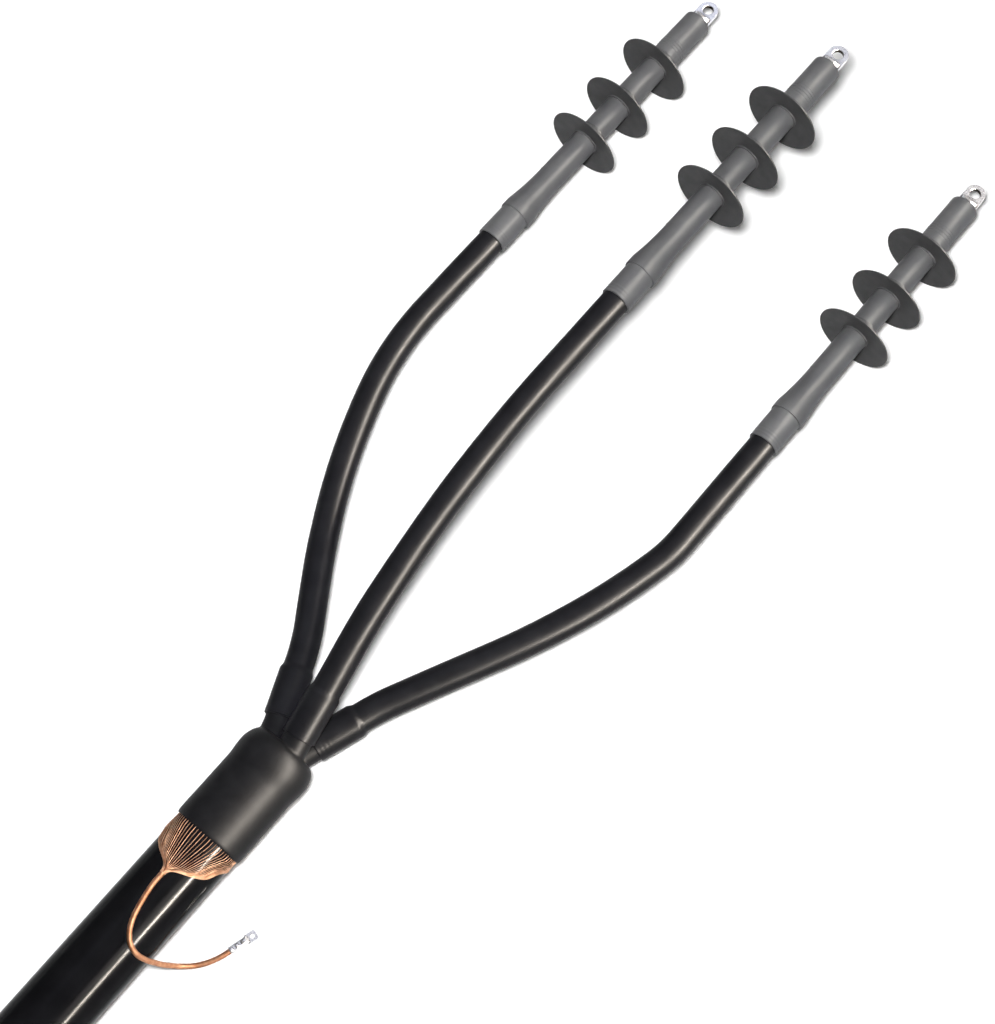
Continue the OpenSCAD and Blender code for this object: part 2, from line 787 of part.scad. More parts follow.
module earth_lug() {
    color("#c6c8cc")
        translate([earth_at.x, earth_at.y, earth_z]) rotate([0, 0, -earth_turn]) difference() {
            union() {
                rod(earth_barrel_d / 2, 0, earth_barrel_len);
                barrel_slope(earth_barrel_d / 2, earth_palm_t, earth_barrel_len, earth_slope);
                translate([0, 0, -earth_palm_t / 2])
                    linear_extrude(earth_palm_t) earth_palm_outline();
            }
            rod(earth_in_r, -cut, earth_bore);
            translate([0, earth_hole_at, -earth_palm_t / 2 - cut])
                cylinder(d = earth_hole_d, h = earth_palm_t + 2 * cut);
            for (place = crimp_places)
                translate([0, earth_barrel_len * place, earth_barrel_d / 2 - crimp_depth])
                    translate([-earth_barrel_d / 2, -crimp_len / 2, 0])
                        cube([earth_barrel_d, crimp_len, earth_barrel_d]);
        }
}

cable_sheath();
cable_bedding();
screen_wires();
breakout_boot();
crotch_filler();
earth_lead();
earth_lug();
for (k = [0:2]) {
    conductor(k);
    insulation(k);
    core_screen(k);
    core_tube(k);
    base_sleeve(k);
    stress_tube(k);
    body_tube(k);
    for (n = [0:2])
        shed(k, n);
    top_sleeve(k);
    lug(k);
    lug_sealant(k);
}
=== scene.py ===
# %% [markdown]
# # A cable termination, lying on a white floor
# The imported CAD model is loaded as a fixed frame, in metres. Each step below dresses some of its pieces. The
# CAD box is kept at once.

# %% Load the frame
import json
import math
import bmesh
import bpy
from mathutils import Matrix, Vector

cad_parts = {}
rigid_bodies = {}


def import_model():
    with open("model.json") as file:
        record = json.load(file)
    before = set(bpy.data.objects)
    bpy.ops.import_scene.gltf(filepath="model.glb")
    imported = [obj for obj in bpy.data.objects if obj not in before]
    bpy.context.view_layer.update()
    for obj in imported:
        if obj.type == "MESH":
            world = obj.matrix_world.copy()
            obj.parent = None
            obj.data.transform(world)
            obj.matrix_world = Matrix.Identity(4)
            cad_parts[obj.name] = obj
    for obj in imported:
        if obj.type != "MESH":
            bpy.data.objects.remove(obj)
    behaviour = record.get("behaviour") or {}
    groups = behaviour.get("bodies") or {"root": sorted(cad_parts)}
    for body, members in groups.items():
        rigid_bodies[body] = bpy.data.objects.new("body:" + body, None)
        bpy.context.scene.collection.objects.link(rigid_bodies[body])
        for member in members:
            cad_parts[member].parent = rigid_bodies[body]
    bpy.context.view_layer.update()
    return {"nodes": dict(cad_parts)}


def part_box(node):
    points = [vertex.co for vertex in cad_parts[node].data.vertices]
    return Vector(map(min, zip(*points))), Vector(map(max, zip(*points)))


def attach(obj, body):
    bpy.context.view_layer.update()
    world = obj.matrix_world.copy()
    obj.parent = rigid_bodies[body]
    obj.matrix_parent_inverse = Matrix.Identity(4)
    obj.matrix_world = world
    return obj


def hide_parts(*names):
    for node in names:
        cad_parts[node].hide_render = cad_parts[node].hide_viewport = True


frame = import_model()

nodes = frame["nodes"]
MM = 0.001
PHASES = ["left", "middle", "right"]

# %% [markdown]
# ## Camera
# A lens looking down at about seventy degrees takes the picture. Its place and direction were solved from the
# nine equal sheds, because a circle's picture says how far away it is and how it is tilted.

# %% Camera
camera_data = bpy.data.cameras.new("camera")
camera_data.sensor_width = 36
camera_data.lens = 60.69
camera_data.clip_start = 0.05
camera_data.clip_end = 50
camera = bpy.data.objects.new("camera", camera_data)
bpy.context.scene.collection.objects.link(camera)
look = Vector((-0.2136, 0.2540, -0.9433)).normalized()
right = Vector((0.7656, 0.6433, 0))
right = (right - look * right.dot(look)).normalized()
up = right.cross(look)
turn = Matrix((right, up, -look)).transposed().to_4x4()
CAMERA_AT = (0.4202, -0.0178, 1.8560)
camera.matrix_world = Matrix.Translation(CAMERA_AT) @ turn
bpy.context.scene.camera = camera
bpy.context.scene.view_settings.view_transform = "Standard"
print("camera at", [round(c, 3) for c in camera.location])

# %% [markdown]
# ## Rings
# Most pieces here are round, so their meshes are rings of points joined by faces. The Screw modifier or a
# curve's bevel could make such shapes too, but rings written in code can carry ripples, and they stay exactly
# where the CAD says.


# %% Rings
def mesh_from_rings(name, rings, closed_ends=False, sharp_deg=40):
    """Joins rings of equal count, in millimetres, into one smooth mesh object."""
    count = len(rings[0])
    verts = [tuple(c * MM for c in p) for ring in rings for p in ring]
    faces = []
    for i in range(len(rings) - 1):
        for j in range(count):
            a, b = i * count + j, i * count + (j + 1) % count
            faces.append((a, b, b + count, a + count))
    if closed_ends:
        faces.append(tuple(reversed(range(count))))
        faces.append(tuple(range((len(rings) - 1) * count, len(rings) * count)))
    mesh = bpy.data.meshes.new(name)
    mesh.from_pydata(verts, [], faces)
    sheet = bmesh.new()
    sheet.from_mesh(mesh)
    bmesh.ops.recalc_face_normals(sheet, faces=sheet.faces)
    sheet.to_mesh(mesh)
    sheet.free()
    mesh.shade_smooth()
    mesh.set_sharp_from_angle(angle=math.radians(sharp_deg))
    piece = bpy.data.objects.new(name, mesh)
    bpy.context.scene.collection.objects.link(piece)
    return piece


# %% [markdown]
# ## Profiles
# A turned or shrunk piece is a profile that goes round an axis. A Bevel modifier could round its edges
# afterwards, but corners that are rounded in the profile are exact and cost no other faces. The last helper
# gives a finished piece its material, joins it to the body and hides the CAD node that it replaces.


# %% Profiles
def rounded(profile, radius, steps=4):
    """Rounds the corners of an open or closed profile of (radius, along) points."""
    out = []
    last = len(profile) - 1
    for i, p in enumerate(profile):
        if i in (0, last):
            out.append(p)
            continue
        p = Vector(p)
        to_before, to_after = Vector(profile[i - 1]) - p, Vector(profile[i + 1]) - p
        reach = min(radius, 0.45 * to_before.length, 0.45 * to_after.length)
        start, end = p + to_before.normalized() * reach, p + to_after.normalized() * reach
        for n in range(steps + 1):
            t = n / steps
            q = start * (1 - t) ** 2 + p * 2 * t * (1 - t) + end * t ** 2
            out.append((q.x, q.y))
    return out


def revolve(name, profile, x, z, count=96, wobble=None):
    """Revolves a closed profile about a line along Y through (x, z). wobble adds a little to the radius."""
    rings = []
    for r, y in profile + profile[:1]:
        ring = []
        for j in range(count):
            a = 2 * math.pi * j / count
            rr = r + (wobble(a, y, r) if wobble else 0)
            ring.append((x + rr * math.sin(a), y, z + rr * math.cos(a)))
        rings.append(ring)
    piece = mesh_from_rings(name, rings)
    welded = bmesh.new()
    welded.from_mesh(piece.data)
    bmesh.ops.remove_doubles(welded, verts=welded.verts, dist=1e-6)
    welded.to_mesh(piece.data)
    welded.free()
    return piece


def dress(piece, node, material):
    """Lets a piece stand for a CAD node."""
    piece.data.materials.append(material)
    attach(piece, "root")
    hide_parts(node)


# %% [markdown]
# ## Materials
# Every surface here is one of four families: drawn or shrunk polyolefin, moulded polyolefin, bare copper and
# tinned copper. Each could have its own tree of nodes, but all of them differ only in tone, gloss and grain,
# so one function makes them all. Colours are written as sRGB and turned to linear light. Patterns are sized
# in millimetres on the object's own coordinates, which are the CAD frame's. The grain is about a millimetre
# wide, coarser than the real one, which would be too fine to show at this distance.


# %% Material helpers
def linear(colour):
    """An sRGB hex colour as linear light, with alpha."""
    out = []
    for i in (1, 3, 5):
        c = int(colour[i:i + 2], 16) / 255
        out.append(c / 12.92 if c <= 0.04045 else ((c + 0.055) / 1.055) ** 2.4)
    return (*out, 1)


def add_node(tree, kind, inputs=None, **settings):
    """Adds a node with its settings, and sets or links its inputs."""
    made = tree.nodes.new(kind)
    for key, value in settings.items():
        setattr(made, key, value)
    for key, value in (inputs or {}).items():
        if isinstance(value, bpy.types.NodeSocket):
            tree.links.new(value, made.inputs[key])
        else:
            made.inputs[key].default_value = value
    return made


# Noise seldom leaves the middle of its range, so that part is spread over all tones and all roughness
TONE_FROM, TONE_TO, GRAIN_FROM, GRAIN_TO, ROUGH_SPREAD = 0.32, 0.68, 0.3, 0.7, 0.07
# Painted shade in holes: how far other faces of the piece are looked for, and how open it is deep in a hole and at
# the mouth
BORE_REACH_MM, BORE_DEEP, BORE_MOUTH = 20, 0.76, 0.93


def surface(name, dark, light, rough, patch_mm, grain_mm, grain_depth_mm, along_mm=None, bore_shade=None, **sockets):
    """A material whose colour drifts between two tones in patches, with a fine grain in bump and roughness.

    patch_mm is the width of a patch and grain_mm that of a grain; along_mm stretches the grain along Y. The colour
    for holes is a painted shade, laid inside drilled holes where other faces of the same piece stand close round.
    """
    material = bpy.data.materials.new(name)
    material.use_nodes = True
    tree = material.node_tree
    tree.nodes.clear()
    place = add_node(tree, "ShaderNodeTexCoord").outputs["Object"]
    at_mm = add_node(tree, "ShaderNodeMapping", {"Vector": place, "Scale": (1000, 1000, 1000)}).outputs["Vector"]
    patches = add_node(tree, "ShaderNodeTexNoise", {"Vector": at_mm, "Scale": 1 / patch_mm, "Detail": 4})
    tone = add_node(tree, "ShaderNodeMapRange", {
        "Value": patches.outputs["Fac"], "From Min": TONE_FROM, "From Max": TONE_TO}).outputs["Result"]
    colour = add_node(tree, "ShaderNodeMix", {
        "Factor": tone, 6: linear(dark), 7: linear(light)}, data_type="RGBA").outputs[2]
    # Painted shade: deep in a hole, where the piece's own faces close round, the colour turns to the dark hole
    # colour
    if bore_shade:
        openness = add_node(
            tree, "ShaderNodeAmbientOcclusion", {"Distance": BORE_REACH_MM * MM}, only_local=True).outputs["AO"]
        outside_hole_shade = add_node(tree, "ShaderNodeMapRange", {
            "Value": openness, "From Min": BORE_DEEP, "From Max": BORE_MOUTH}).outputs["Result"]
        colour = add_node(tree, "ShaderNodeMix", {
            "Factor": outside_hole_shade, 6: linear(bore_shade), 7: colour}, data_type="RGBA").outputs[2]
    stretch = 1000 * grain_mm / (along_mm or grain_mm)
    grain_at = add_node(
        tree, "ShaderNodeMapping", {"Vector": place, "Scale": (1000, stretch, 1000)}).outputs["Vector"]
    grain = add_node(tree, "ShaderNodeTexNoise", {
        "Vector": grain_at, "Scale": 1 / grain_mm, "Detail": 3}).outputs["Fac"]
    rough_there = add_node(tree, "ShaderNodeMapRange", {
        "Value": grain, "From Min": GRAIN_FROM, "From Max": GRAIN_TO,
        "To Min": rough - ROUGH_SPREAD, "To Max": rough + ROUGH_SPREAD}).outputs["Result"]
    bump = add_node(tree, "ShaderNodeBump", {"Height": grain, "Distance": grain_depth_mm * MM, "Strength": 1})
    shader = add_node(tree, "ShaderNodeBsdfPrincipled", {
        "Base Color": colour, "Roughness": rough_there, "Normal": bump.outputs["Normal"], **sockets})
    add_node(tree, "ShaderNodeOutputMaterial", {"Surface": shader.outputs["BSDF"]})
    return material


# %% [markdown]
# ## Plastics
# Cable and tubing are polyolefins, black from soot or grey from mineral fillers. Each finish comes from how
# the piece was made: extruded and shiny, moulded with the grain of the mould, or shrunk on and satin. The
# blacks have a low specular level, so that the white floor doesn't turn their edges grey, and strong lamps
# make up for it in the highlights.

# %% Plastics
# Extruded polyethylene: shiny, so its highlight is a narrow line, with faint lines along the way it was drawn
sheath_black = surface(
    "polyethylene_sheath", "#0f0f11", "#151517", rough=0.17, patch_mm=40, grain_mm=1.5, grain_depth_mm=0.01,
    along_mm=90, **{"Specular IOR Level": 0.033})
# Moulded polyolefin: a satin skin with the fine grain of the mould, which breaks the highlight into specks
boot_black = surface(
    "moulded_polyolefin_boot", "#161618", "#1e1e20", rough=0.46, patch_mm=18, grain_mm=0.9, grain_depth_mm=0.1,
    **{"Specular IOR Level": 0.05})
# Shrunk polyolefin tube: satin, with faint streaks along the tube
tube_black = surface(
    "shrunk_polyolefin_black", "#17171a", "#1f1f22", rough=0.38, patch_mm=25, grain_mm=1.2, grain_depth_mm=0.02,
    along_mm=30, **{"Specular IOR Level": 0.05})
# Anti-track tubing: grey and dull, with faint streaks along the tube
tube_grey = surface(
    "anti_track_tubing_grey", "#58585a", "#626263", rough=0.42, patch_mm=25, grain_mm=1.2, grain_depth_mm=0.02,
    along_mm=24, **{"Specular IOR Level": 0.15})
# The same tubing as short sleeves: thinner, so a little paler
sleeve_grey = surface(
    "sealing_sleeve_grey", "#5f5f61", "#69696a", rough=0.42, patch_mm=25, grain_mm=1.2, grain_depth_mm=0.02,
    along_mm=24, **{"Specular IOR Level": 0.15})
# Moulded sheds: darker, and smooth enough to draw a thin light line along the rim
shed_grey = surface(
    "moulded_shed_dark_grey", "#4a4a4b", "#525253", rough=0.42, patch_mm=14, grain_mm=0.8, grain_depth_mm=0.02,
    **{"Specular IOR Level": 0.06})
plastics = (sheath_black, boot_black, tube_black, tube_grey, sleeve_grey, shed_grey)
print("plastics", ", ".join(material.name for material in plastics))

# %% [markdown]
# ## Metals
# The screen and the lead are bare copper, and the lugs are copper with a coat of tin. A metal's colour is all
# in its reflection, so patches of tone and a rough grain do more here than any pattern. The inside of a drilled
# hole gets a painted shade, dark brown. It could be painted face by face, but it is found here by how close the
# piece's own faces stand.

# %% Metals
# Bare drawn copper: warm metal, dulled in patches by handling
copper = surface(
    "drawn_copper", "#b47d5c", "#d2a07e", rough=0.52, patch_mm=6, grain_mm=0.8, grain_depth_mm=0.01, along_mm=8,
    Metallic=1)
# Screen wires: the same copper painted paler than the lead, a painted highlight for the light lines that thin
# wires catch
copper_painted_highlight = surface(
    "drawn_copper_painted_highlight", "#c2906f", "#e0b798", rough=0.45, patch_mm=6, grain_mm=0.8, grain_depth_mm=0.01,
    along_mm=8, Metallic=1)
# Tinned copper: pale metal with a soft satin coat, and a painted dark shade inside its drilled holes
tin = surface(
    "tinned_copper", "#c8cacf", "#d8dadf", rough=0.3, patch_mm=8, grain_mm=1.0, grain_depth_mm=0.01,
    bore_shade="#2e261f", Metallic=1)
print("metals", ", ".join(material.name for material in (copper, copper_painted_highlight, tin)))

# %% [markdown]
# ## Inner layers
# At the sawn end of the cable its layers show, and mastic fills the crotch and the sleeves. They are seen
# little or not at all, so plain versions of the same surface do. Then every CAD node gets its material,
# because a node that isn't dressed below still shows its own mesh.

# %% Inner layers
# Extruded filler, sawn through: a dull dark grey
bedding_black = surface(
    "extruded_bedding", "#2a2a2b", "#353536", rough=0.7, patch_mm=8, grain_mm=0.8, grain_depth_mm=0.05)
# Cross-linked polyethylene: milky, nearly white
insulation_white = surface(
    "cross_linked_polyethylene", "#e2dccb", "#ece7d9", rough=0.5, patch_mm=12, grain_mm=1.0, grain_depth_mm=0.03)
# Polymer full of soot, so that it conducts: a flat black
screen_black = surface(
    "conductive_screen", "#161616", "#1f1f1f", rough=0.6, patch_mm=10, grain_mm=0.8, grain_depth_mm=0.03)
# Soft pressed mastic: red-brown, with an uneven skin
mastic_red = surface(
    "sealing_mastic", "#7c3424", "#93432f", rough=0.5, patch_mm=6, grain_mm=1.0, grain_depth_mm=0.05)

for name, material in (
    ("cable_sheath", sheath_black), ("cable_bedding", bedding_black), ("screen_wires", copper_painted_highlight),
    ("breakout_boot", boot_black), ("crotch_filler", mastic_red), ("earth_lead", copper), ("earth_lug", tin),
):
    nodes[name].data.materials.clear()
    nodes[name].data.materials.append(material)
for phase in PHASES:
    for name, material in (
        ("conductor", copper), ("insulation", insulation_white), ("core_screen", screen_black),
        ("core_tube", tube_black), ("base_sleeve", sleeve_grey), ("stress_tube", screen_black),
        ("body_tube", tube_grey), ("shed_lower", shed_grey), ("shed_middle", shed_grey), ("shed_upper", shed_grey),
        ("top_sleeve", sleeve_grey), ("lug", tin), ("lug_sealant", mastic_red),
    ):
        nodes[phase + "_" + name].data.materials.clear()
        nodes[phase + "_" + name].data.materials.append(material)
print("materials for", len(nodes), "nodes")

# %% [markdown]
# ## Routes and sweeps
# Lead, legs, fingers and wires are all long and bent: rings of points set square to a route. A curve object
# with a bevel does that with less code, but its section is the same all along. Here the radius may change
# from point to point, so a sweep can have strands, folds and necks.


# %% Routes and sweeps
def smooth_route(points, step_count):
    """A Catmull-Rom curve through the points, with the same number of steps in each span."""
    pts = [Vector(p) for p in points]
    pts = [2 * pts[0] - pts[1]] + pts + [2 * pts[-1] - pts[-2]]
    out = []
    for i in range(1, len(pts) - 2):
        a, b, c, d = pts[i - 1:i + 3]
        for n in range(step_count):
            t = n / step_count
            out.append(0.5 * (
                2 * b + (c - a) * t + (2 * a - 5 * b + 4 * c - d) * t ** 2 + (3 * b - a - 3 * c + d) * t ** 3))
    return out + [pts[-2]]


def sweep(route, radius, count, first_side=Vector((0, 0, 1))):
    """Rings square to the route. radius(i, angle) gives the radius of point i at an angle."""
    rings, side = [], first_side
    for i, p in enumerate(route):
        ahead = (route[min(i + 1, len(route) - 1)] - route[max(i - 1, 0)]).normalized()
        side = (side - ahead * side.dot(ahead)).normalized()
        across = ahead.cross(side)
        ring = []
        for j in range(count):
            a = 2 * math.pi * j / count
            ring.append(p + (side * math.cos(a) + across * math.sin(a)) * radius(i, a))
        rings.append(ring)
    return rings


def route_length(route):
    """The length of a route, from point to point."""
    return sum((b - a).length for a, b in zip(route, route[1:]))


# %% [markdown]
# ## Earth lead
# The gathered screen wires go on as one copper lead, a free cord that lies on the cable and comes down to the
# floor, where a small lug ends it. A round tube would lose the strands, so a ridged section is swept along
# the route and turns slowly, as the lay of a rope does.

# %% Earth lead
LEAD_POINTS = [
    (-1, -57, 43.5), (-1, -70, 43.5), (1, -84, 43.5), (4, -98, 43.5), (8, -111, 43),
    (14, -122, 41.5), (22, -130, 38), (32, -134, 30), (41, -133, 17), (47, -130, 3),
    (52, -127, -11), (58, -122, -24), (65, -116, -34), (74, -107, -39), (82, -96, -40),
    (88, -84, -40), (92, -72, -40), (96, -58, -40),
]
LEAD_R, STRANDS, STRAND_LAY_MM, GROOVE_DEPTH = 3.0, 9, 45, 0.16
lead_route = smooth_route(LEAD_POINTS, step_count=8)
lead_step = route_length(lead_route) / (len(lead_route) - 1)


def strand_radius(i, angle):
    """Ridges round the lead, one for each strand, that turn with the lay."""
    turn = 2 * math.pi * i * lead_step / STRAND_LAY_MM
    return LEAD_R * (1 - GROOVE_DEPTH + GROOVE_DEPTH * abs(math.cos(STRANDS / 2 * (angle + turn))))


LEAD_SIDES = 66
lead = mesh_from_rings("earth_lead_strands", sweep(lead_route, strand_radius, LEAD_SIDES), closed_ends=True)
dress(lead, "earth_lead", copper)

# %% [markdown]
# ## Phase ends
# Each phase end is a stack of round pieces on one axis: base sleeve, body tube, three sheds and top sleeve.
# Bevels on the CAD meshes would round their edges, but shrunk tubing isn't quite round either, and it folds
# where it tightens. Revolved profiles can have both. These helpers measure a CAD piece, cut its profile fine
# enough for ripples and say where the ripples are. Sizes come from the CAD boxes, so each piece stays in the
# place of its solid.


# %% Tubing helpers
def dense(profile, step):
    """Cuts the long sides of a profile into short steps, so that ripples have points to move."""
    out = []
    for p, q in zip(profile, profile[1:]):
        parts = max(1, math.ceil((Vector(q) - Vector(p)).length / step))
        for n in range(parts):
            t = n / parts
            out.append((p[0] + (q[0] - p[0]) * t, p[1] + (q[1] - p[1]) * t))
    return out + [profile[-1]]


def in_mm(node):
    """A node's box in millimetres: middle x and z, lower and upper y, and largest radius."""
    low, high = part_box(node)
    return (
        (low[0] + high[0]) / 2 / MM, (low[2] + high[2]) / 2 / MM, low[1] / MM, high[1] / MM,
        (high[0] - low[0]) / 2 / MM,
    )


def ease(t):
    """Smooth step from 0 to 1."""
    t = min(max(t, 0), 1)
    return t * t * (3 - 2 * t)


def window(y, low, high, soft):
    """1 between low and high, falling smoothly to 0 outside."""
    return ease((y - low) / soft + 0.5) * ease((high - y) / soft + 0.5)


# Depths in millimetres, and the way along the tube in which each swell turns by one radian
OVAL_DEPTH, OVAL_TURN, LOBE_DEPTH, LOBE_TURN, PHASE_SHIFT = 0.1, 31, 0.08, 17, 1.7


def uneven(phase):
    """Hand-shrunk tubing isn't quite round or straight: a slow swell of a tenth of a millimetre."""
    shift = PHASE_SHIFT * PHASES.index(phase)

    def swell(angle, y):
        oval = OVAL_DEPTH * math.sin(2 * angle + y / OVAL_TURN + shift)
        return oval + LOBE_DEPTH * math.sin(3 * angle - y / LOBE_TURN + 2 * shift)
    return swell


# %% [markdown]
# ## Base sleeves
# A short grey sleeve covers the upper end of the black tube and tapers under the body tube. It is drawn a
# little slimmer than the CAD solid, as it shrinks tight, with fine folds near its lower end.

# %% Base sleeves
BASE_IN_R, BASE_TOP_R, BASE_SHOWS, BASE_TAPER, BASE_SLIMMER, BASE_ROUND = 16.95, 18.55, 44, 3, 0.8, 1.6
BASE_FOLD, BASE_FOLD_MM = 0.16, 4.5
for phase in PHASES:
    x, z, low, high, r = in_mm(phase + "_base_sleeve")
    r -= BASE_SLIMMER
    rim = low + BASE_SHOWS
    outline = rounded([
        (BASE_IN_R, low + 8), (BASE_IN_R, low), (r, low), (r, rim - BASE_TAPER), (BASE_TOP_R, rim + 1),
        (BASE_TOP_R, high), (BASE_IN_R, high), (BASE_IN_R, low + 9)], BASE_ROUND)

    def base_swell(angle, y, r, swell=uneven(phase), low=low, rim=rim):
        fold = BASE_FOLD * math.sin(2 * math.pi * (y - low) / BASE_FOLD_MM)
        fold *= window(y, low + 2, low + 13, soft=4)
        return (swell(angle, y) + fold) * window(y, low + 1.5, rim - 3, soft=3)

    piece = revolve(phase + "_base_tube", dense(outline, step=0.9), x, z, wobble=base_swell)
    dress(piece, phase + "_base_sleeve", sleeve_grey)
print("base sleeves", len(PHASES))

# %% [markdown]
# ## Body tubes
# The body tube has a wide lip below, where it stayed over the base sleeve, and shrinks in a long flare to the
# core. A straight cone would show a kink at both ends, so the flare is part of a parabola. A faint ring marks
# its end.

# %% Body tubes
LIP_LEN, FLARE_LEN, BODY_WALL, BODY_R, LIP_ROUND, FLARE_STEPS = 12, 58, 1.9, 16.45, 1.2, 24
RING_HEIGHT, RING_HALF, BODY_SWELL, BODY_SWELL_END = 0.3, 1.5, 0.5, 1050
for phase in PHASES:
    x, z, low, high, lip_r = in_mm(phase + "_body_tube")
    in_r, flare_from = lip_r - BODY_WALL, low + LIP_LEN
    flare_to = flare_from + FLARE_LEN
    flare = [
        (BODY_R + (lip_r - BODY_R) * (1 - t / FLARE_STEPS) ** 2, flare_from + FLARE_LEN * t / FLARE_STEPS)
        for t in range(FLARE_STEPS + 1)]
    lip = rounded([(in_r, low + 5), (in_r, low), (lip_r, low), (lip_r, low + 6)], LIP_ROUND)
    outline = [(in_r, low + 6)] + lip + flare
    outline += [(BODY_R, high), (BODY_R - BODY_WALL, high), (BODY_R - BODY_WALL, flare_to)]

    def body_swell(angle, y, r, swell=uneven(phase), low=low, flare_to=flare_to):
        ring = RING_HEIGHT * window(y, flare_to - RING_HALF, flare_to + RING_HALF, RING_HALF)
        slow = BODY_SWELL * swell(angle, y) * window(y, low + 3, BODY_SWELL_END, soft=6)
        return slow + ring if r > BODY_R - 0.5 else 0

    piece = revolve(phase + "_body_flare", dense(outline, step=2.5), x, z, wobble=body_swell)
    dress(piece, phase + "_body_tube", tube_grey)
print("body tubes", len(PHASES))

# %% [markdown]
# ## Sheds
# A shed is a moulded umbrella that keeps a dry stretch under it in the rain. It has a thin dished disc, a
# rounded root and a collar that shrinks on the body tube, and the collar folds in fine rings. The disc leans
# towards the cable.

# %% Sheds
SHED_DROP, SHED_RIM, SHED_ROOT, SHED_LIP, COLLAR_LEN = 4, 2, 4, 2, 16
SHED_IN_R, COLLAR_R, COLLAR_FOLD, COLLAR_FOLD_MM = 16.55, 17.75, 0.3, 2.4
for phase in PHASES:
    for place in ("lower", "middle", "upper"):
        node = phase + "_shed_" + place
        x, z, rim, _, r = in_mm(node)
        root = rim + SHED_DROP
        disc = [
            (SHED_IN_R, root - SHED_LIP), (COLLAR_R, root - SHED_LIP), (COLLAR_R, root), (r, rim),
            (r, rim + SHED_RIM), (COLLAR_R + SHED_ROOT, root + SHED_ROOT), (COLLAR_R, root + 2 * SHED_ROOT)]
        collar = dense([(COLLAR_R, root + 2 * SHED_ROOT), (COLLAR_R, root + COLLAR_LEN)], step=0.4)
        outline = rounded(disc, radius=1.0, steps=6) + collar[1:]
        outline += [(SHED_IN_R, root + COLLAR_LEN), (SHED_IN_R, root)]

        def shed_swell(angle, y, r, root=root):
            fold = COLLAR_FOLD * math.sin(2 * math.pi * (y - root) / COLLAR_FOLD_MM + 0.4 * math.sin(angle))
            return fold * window(y, root + 9, root + COLLAR_LEN - 1, soft=2) if r > SHED_IN_R + 0.5 else 0

        piece = revolve(phase + "_umbrella_" + place, outline, x, z, count=128, wobble=shed_swell)
        dress(piece, node, shed_grey)
print("sheds", 3 * len(PHASES))

# %% [markdown]
# ## Top sleeves
# The top sleeve seals the lug's barrel to the body tube. Its upper end draws in round the barrel in a quarter
# circle, and folds show where it passes from the tube to the barrel. It is drawn a little shorter than the
# CAD solid.

# %% Top sleeves
SLEEVE_IN_R, SLEEVE_ROUND, BARREL_FIT_R, TOP_SHORTER = 16.55, 2.6, 11.1, 1.2
TOP_FOLD, TOP_FOLD_MM, TOP_SWELL = 0.34, 4.2, 0.7
for phase in PHASES:
    x, z, low, high, r = in_mm(phase + "_top_sleeve")
    high -= TOP_SHORTER
    turns = [math.radians(a) for a in range(0, 91, 9)]
    cap = [(r - SLEEVE_ROUND * (1 - math.cos(a)), high - SLEEVE_ROUND * (1 - math.sin(a))) for a in turns]
    outline = rounded([(SLEEVE_IN_R, low + 6), (SLEEVE_IN_R, low), (r - 0.7, low), (r, low + 4)], radius=0.5)
    outline = dense(outline + cap, step=0.5)
    outline += [(BARREL_FIT_R, high), (BARREL_FIT_R, high - SLEEVE_ROUND), (SLEEVE_IN_R, high - SLEEVE_ROUND)]

    def sleeve_swell(angle, y, r, swell=uneven(phase), low=low, high=high):
        if r < SLEEVE_IN_R + 0.4 or y > high - SLEEVE_ROUND - 1:
            return 0
        fold = TOP_FOLD * math.sin(2 * math.pi * (y - low) / TOP_FOLD_MM + 0.5 * math.sin(angle + 1))
        slow = TOP_SWELL * swell(angle, y) * window(y, low + 6, high - 8, soft=6)
        return fold * window(y, low + 9, low + 22, soft=4) + slow

    piece = revolve(phase + "_sealing_sleeve", outline, x, z, wobble=sleeve_swell)
    dress(piece, phase + "_top_sleeve", sleeve_grey)
print("top sleeves", len(PHASES))

# %% [markdown]
# ## Leg plan
# The three cores leave the cable side by side, splay out and bend back until they run along the cable again.
# Each leg lies in one plane, so a point of it takes two numbers, sideways from its core and along the cable.
# Points in space would need three, and a bend in them is harder to write than in a plane.

# %% Leg plan
SCREEN_R, CORE_GAP, CORE_TURN = 14.45, 3, -34
TREFOIL_R = (2 * SCREEN_R + CORE_GAP) / math.sqrt(3)
BEND_START, FINGER_BEND_R = 104, 100
# Angles of the finger, the splayed run and the eased run, and the radius of the last bend
LEGS = {"left": (23.5, 33.5, 18.5, 415), "middle": (15, 16, 11.75, 1590), "right": (18.5, 26.5, 13, 175)}
CORE_ANGLE = {"left": 210 + CORE_TURN, "middle": 90 + CORE_TURN, "right": 330 + CORE_TURN}


def heading(h):
    """A unit step in the leg's plane, sideways and along, at h degrees from the cable's axis."""
    return Vector((math.sin(math.radians(h)), math.cos(math.radians(h))))


def bend_step(r, h0, h1):
    """How far a bend of radius r from heading h0 to h1 goes, sideways and along."""
    a, b = math.radians(h0), math.radians(h1)
    side = 1 if h1 > h0 else -1
    return Vector((side * r * (math.cos(a) - math.cos(b)), side * r * (math.sin(b) - math.sin(a))))


def leg_frame(phase):
    """Where a leg's core lies in the cable, the direction it moves off in, and how far."""
    a = math.radians(CORE_ANGLE[phase])
    core = Vector((TREFOIL_R * math.cos(a), TREFOIL_R * math.sin(a)))
    x, z, *_ = in_mm(phase + "_lug")
    off = Vector((x, z)) - core
    return core, off.normalized(), off.length


def finger_root(phase):
    """Where a finger's bend ends and its straight part starts, sideways and along."""
    return Vector((0, BEND_START)) + bend_step(FINGER_BEND_R, 0, LEGS[phase][0])


print("cores", round(TREFOIL_R, 2), "mm from the cable's axis")

# %% [markdown]
# ## Leg routes
# A curve through a few points would look much like a leg, but it bulges in its bends. So each route is solved
# as in the CAD: straight, bend, straight, and two bends back. The middle straight takes up what is left, and
# so the leg ends on its phase's axis.

